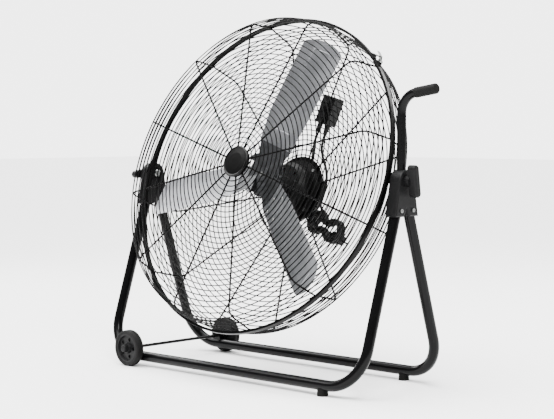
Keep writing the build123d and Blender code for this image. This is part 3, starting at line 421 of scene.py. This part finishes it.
def moved_copy(piece, name, matrix):
    """A copy of a piece with its own mesh, put in place by a matrix."""
    other = piece.copy()
    other.data = piece.data.copy()
    other.name = name
    bpy.context.scene.collection.objects.link(other)
    other.matrix_world = matrix
    return other


# The pressed swage of each blade: a long low wedge, widest at the root.
BLADE_PHASE = 72.3
BLADE_PITCH = radians(18.3)
BLADES_AHEAD = 0.02     # of the tilt axis
SWAGE_LENGTH = 0.222
SWAGE_WIDTH = 0.054
SWAGE_HEIGHT = 0.0022
SWAGE_AT = 0.223        # its middle, out from the shaft
SWAGE_TIP = 0.2         # its width at the tip against that at the root
bpy.ops.object.select_all(action="DESELECT")
bpy.ops.mesh.primitive_cube_add(size=1, location=(0, 0, 0))
swage = bpy.context.object
swage.name = "blade_swage"
bpy.ops.object.mode_set(mode="EDIT")
bpy.ops.mesh.select_all(action="SELECT")
bpy.ops.transform.resize(value=(SWAGE_LENGTH, SWAGE_WIDTH, SWAGE_HEIGHT))
bpy.ops.transform.translate(value=(SWAGE_AT, 0, 0.0002))
bpy.ops.mesh.select_all(action="DESELECT")
shape = bmesh.from_edit_mesh(swage.data)
for face in shape.faces:
    face.select = face.normal.x > 0.9
bmesh.update_edit_mesh(swage.data)
bpy.ops.transform.resize(value=(1, SWAGE_TIP, 1))
bpy.ops.mesh.select_all(action="DESELECT")
shape = bmesh.from_edit_mesh(swage.data)
for face in shape.faces:
    face.select = face.normal.z > 0.9
bmesh.update_edit_mesh(swage.data)
bpy.ops.transform.resize(value=(0.985, 0.86, 1))
bpy.ops.mesh.inset(thickness=0.0022, depth=-0.0007)
bpy.ops.mesh.select_all(action="SELECT")
bpy.ops.mesh.bevel(offset=0.0008, segments=2, affect="EDGES")
bpy.ops.object.mode_set(mode="OBJECT")
bpy.ops.object.shade_smooth_by_angle(angle=radians(40))

for count in range(3):
    angle = radians(BLADE_PHASE + 120 * count)
    outward = ASIDE * cos(angle) + UPWARD * sin(angle)
    sideways = UPWARD * cos(angle) - ASIDE * sin(angle)
    facing = AHEAD * cos(BLADE_PITCH) - sideways * sin(BLADE_PITCH)
    chord = facing.cross(outward)
    matrix = Matrix((outward, chord, facing)).transposed().to_4x4()
    matrix.translation = PIVOT + AHEAD * BLADES_AHEAD
    pressed = moved_copy(swage, f"blade_swage_{count + 1}", matrix)
    finished(pressed, rolled_aluminium, "impeller")
bpy.data.objects.remove(swage)

# ---------------------------------------------------------------- floor, lights and surroundings
bpy.ops.object.select_all(action="DESELECT")
bpy.ops.mesh.primitive_plane_add(size=40, location=(0, 0, 0))
floor = bpy.context.object
floor.name = "floor"
floor_finish = bpy.data.materials.new("pale_floor")
floor_finish.use_nodes = True
floor_shader = floor_finish.node_tree.nodes["Principled BSDF"]
floor_shader.inputs["Base Color"].default_value = linear("#fafafa")
floor_shader.inputs["Roughness"].default_value = 0.5
floor.data.materials.append(floor_finish)

# The surroundings look white to the camera and light the object less strongly.
SEEN_STRENGTH = 4.5
LIGHTING_STRENGTH = 0.4
world = bpy.data.worlds.new("studio")
world.use_nodes = True
seen_directly = add(world.node_tree, "ShaderNodeLightPath").outputs["Is Camera Ray"]
glow = add(
    world.node_tree,
    "ShaderNodeMapRange",
    {"To Min": LIGHTING_STRENGTH, "To Max": SEEN_STRENGTH},
    {"Value": seen_directly},
)
surround = world.node_tree.nodes["Background"]
surround.inputs["Color"].default_value = linear("#ffffff")
world.node_tree.links.new(glow.outputs["Result"], surround.inputs["Strength"])
bpy.context.scene.world = world

# A wide, even glow from overhead that keeps the floor pale.
sun_data = bpy.data.lights.new("ceiling_glow", "SUN")
sun_data.energy = 14
sun_data.angle = radians(70)
ceiling_glow = bpy.data.objects.new("ceiling_glow", sun_data)
bpy.context.scene.collection.objects.link(ceiling_glow)
ceiling_glow.rotation_euler = (radians(12), radians(-14), 0)


def soft_light(name, place, aim, size, power):
    """A square soft box at a place, turned to face a point."""
    data = bpy.data.lights.new(name, "AREA")
    data.size = size
    data.energy = power
    light = bpy.data.objects.new(name, data)
    bpy.context.scene.collection.objects.link(light)
    light.location = place
    light.rotation_euler = (Vector(aim) - Vector(place)).to_track_quat("-Z", "Y").to_euler()


soft_light("key_box", (1.8, -1.2, 2.6), (0, 0, 0.5), 0.9, 120)
soft_light("side_box", (-2.6, 0.5, 1.8), (0, 0, 0.4), 0.8, 45)
soft_light("back_box", (0.4, 2.6, 2.2), (0, 0, 0.5), 1.2, 70)
